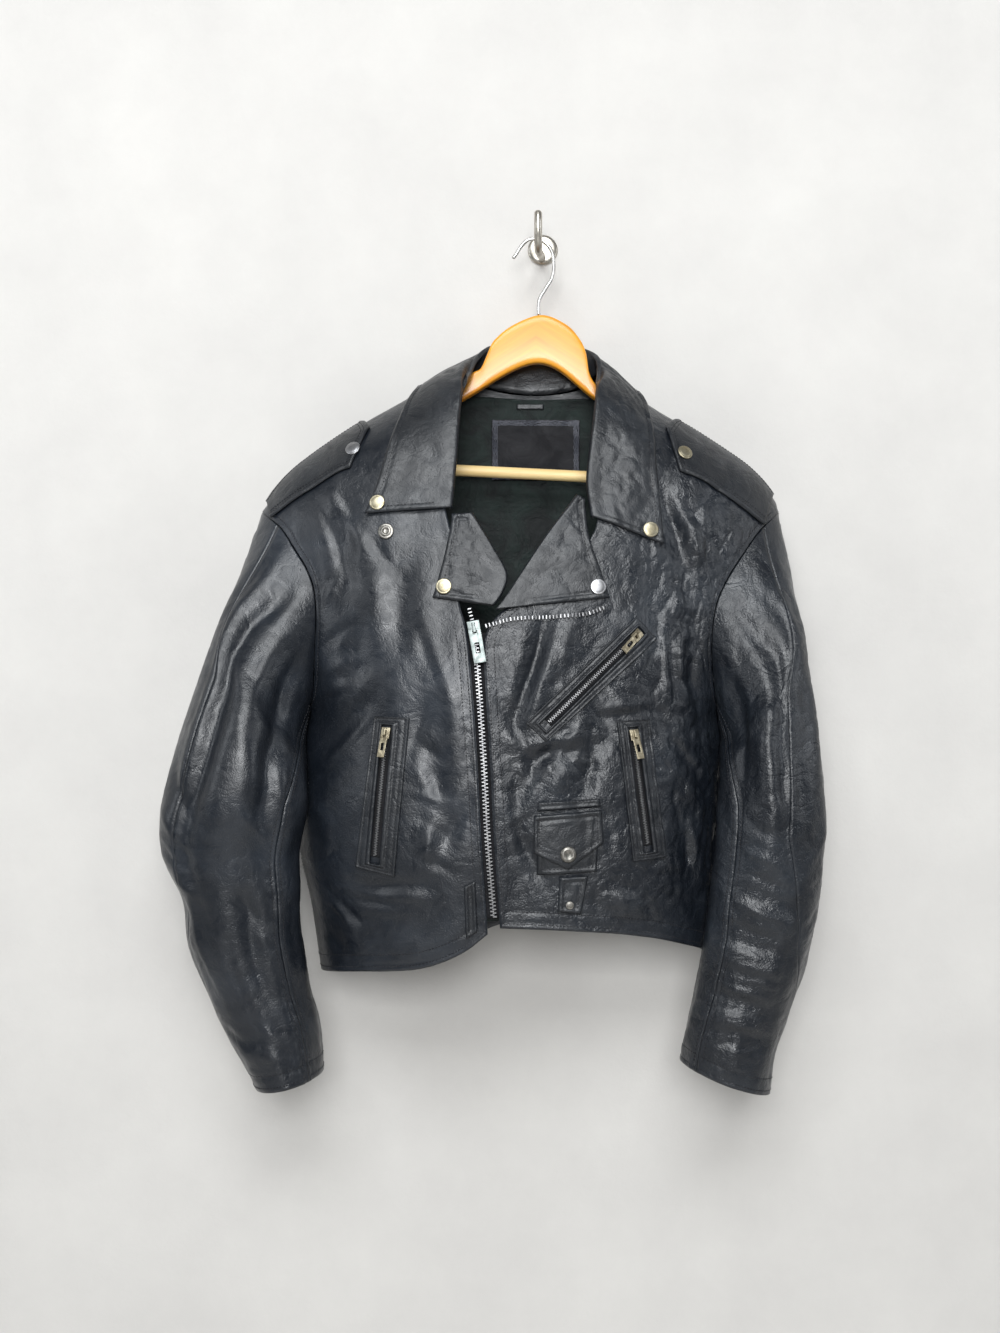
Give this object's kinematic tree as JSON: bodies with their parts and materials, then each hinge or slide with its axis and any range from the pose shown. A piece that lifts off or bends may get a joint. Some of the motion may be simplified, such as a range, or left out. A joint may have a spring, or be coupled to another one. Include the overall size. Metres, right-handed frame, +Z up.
{
  "type": "leather motorcycle jacket on a wooden hanger and wall hook",
  "caption": "Worn black leather motorcycle jacket, open at the top with lapels, collar, shoulder straps and zips, on a wooden hanger on a wall hook.",
  "frame": {"origin": "on the wall behind the wall hook's plate, where the hook holds the hanger and the jacket", "axes": "+Z up, -Y out of the wall towards the viewer of the jacket's front, +X towards the wearer's left"},
  "size_m": [0.6653, 0.1946, 0.9164],
  "materials": {
    "black_leather": "semi-gloss, grained and creased",
    "trim_leather": "semi-gloss, stitched edges",
    "lining": "satin weave",
    "label": "woven",
    "zip_tape": "woven, matte",
    "zip_metal": "worn nickel plate",
    "snap_metal": "worn nickel plate",
    "hanger_wood": "varnished",
    "bar_wood": "plain",
    "wire_steel": "plated wire",
    "hook_nickel": "satin nickel"
  },
  "bodies": {
    "jacket": {"right_front": "black_leather", "left_front": "black_leather", "back": "black_leather", "right_top_sleeve": "black_leather", "right_under_sleeve": "black_leather", "left_top_sleeve": "black_leather", "left_under_sleeve": "black_leather", "collar": "trim_leather", "right_lapel": "trim_leather", "left_lapel": "trim_leather", "right_shoulder_strap": "trim_leather", "left_shoulder_strap": "trim_leather", "chest_pocket_welt": "trim_leather", "right_hand_pocket_welt": "trim_leather", "left_hand_pocket_welt": "trim_leather", "coin_pocket": "trim_leather", "coin_pocket_band": "trim_leather", "coin_pocket_flap": "trim_leather", "right_belt_loop": "trim_leather", "left_belt_loop": "trim_leather", "hanging_loop": "trim_leather", "back_lining": "lining", "neck_label": "label", "main_zip_tape": "zip_tape", "main_zip_chain": "zip_metal", "main_zip_right_branch": "zip_metal", "main_zip_left_branch": "zip_metal", "main_zip_slider": "zip_metal", "chest_zip_chain": "zip_metal", "chest_zip_slider": "zip_metal", "right_hand_zip_chain": "zip_metal", "right_hand_zip_slider": "zip_metal", "left_hand_zip_chain": "zip_metal", "left_hand_zip_slider": "zip_metal", "right_cuff_zip_chain": "zip_metal", "right_cuff_zip_slider": "zip_metal", "left_cuff_zip_chain": "zip_metal", "left_cuff_zip_slider": "zip_metal", "right_strap_snap": "snap_metal", "left_strap_snap": "snap_metal", "right_collar_snap": "snap_metal", "left_collar_snap": "snap_metal", "right_lapel_snap": "snap_metal", "left_lapel_snap": "snap_metal", "right_front_stud": "snap_metal", "coin_flap_snap": "snap_metal", "left_loop_rivet": "snap_metal", "hanger_arms": "hanger_wood", "hanger_bar": "bar_wood", "hanger_hook": "wire_steel", "wall_hook_plate": "hook_nickel", "wall_hook_arm": "hook_nickel"},
    "main_pull": {"main_zip_pull": "zip_metal"},
    "chest_pull": {"chest_zip_pull": "zip_metal"},
    "right_hand_pull": {"right_hand_zip_pull": "zip_metal"},
    "left_hand_pull": {"left_hand_zip_pull": "zip_metal"},
    "right_cuff_pull": {"right_cuff_zip_pull": "zip_metal"},
    "left_cuff_pull": {"left_cuff_zip_pull": "zip_metal"}
  },
  "joints": [
    {"name": "main_pull_hinge", "type": "hinge", "parent": "jacket", "child": "main_pull", "pos_m": [-0.06917, -0.17443, -0.42965], "axis": [-0.9832, 0.0175, -0.1814], "range_deg": [0, 110]},
    {"name": "chest_pull_hinge", "type": "hinge", "parent": "jacket", "child": "chest_pull", "pos_m": [0.09153, -0.16597, -0.43541], "axis": [-0.6682, -0.141, 0.7305], "range_deg": [0, 110]},
    {"name": "right_hand_pull_hinge", "type": "hinge", "parent": "jacket", "child": "right_hand_pull", "pos_m": [-0.15751, -0.16933, -0.53191], "axis": [-0.9455, 0.3192, 0.0646], "range_deg": [0, 110]},
    {"name": "left_hand_pull_hinge", "type": "hinge", "parent": "jacket", "child": "left_hand_pull", "pos_m": [0.08909, -0.17213, -0.53367], "axis": [-0.9526, -0.2853, -0.1054], "range_deg": [0, 110]},
    {"name": "right_cuff_pull_hinge", "type": "hinge", "parent": "jacket", "child": "right_cuff_pull", "pos_m": [-0.2978, -0.10573, -0.87794], "axis": [0.2985, 0.9402, 0.1639], "range_deg": [0, 110]},
    {"name": "left_cuff_pull_hinge", "type": "hinge", "parent": "jacket", "child": "left_cuff_pull", "pos_m": [0.23075, -0.11246, -0.87557], "axis": [0.4429, -0.8931, -0.0785], "range_deg": [0, 110]}
  ]
}
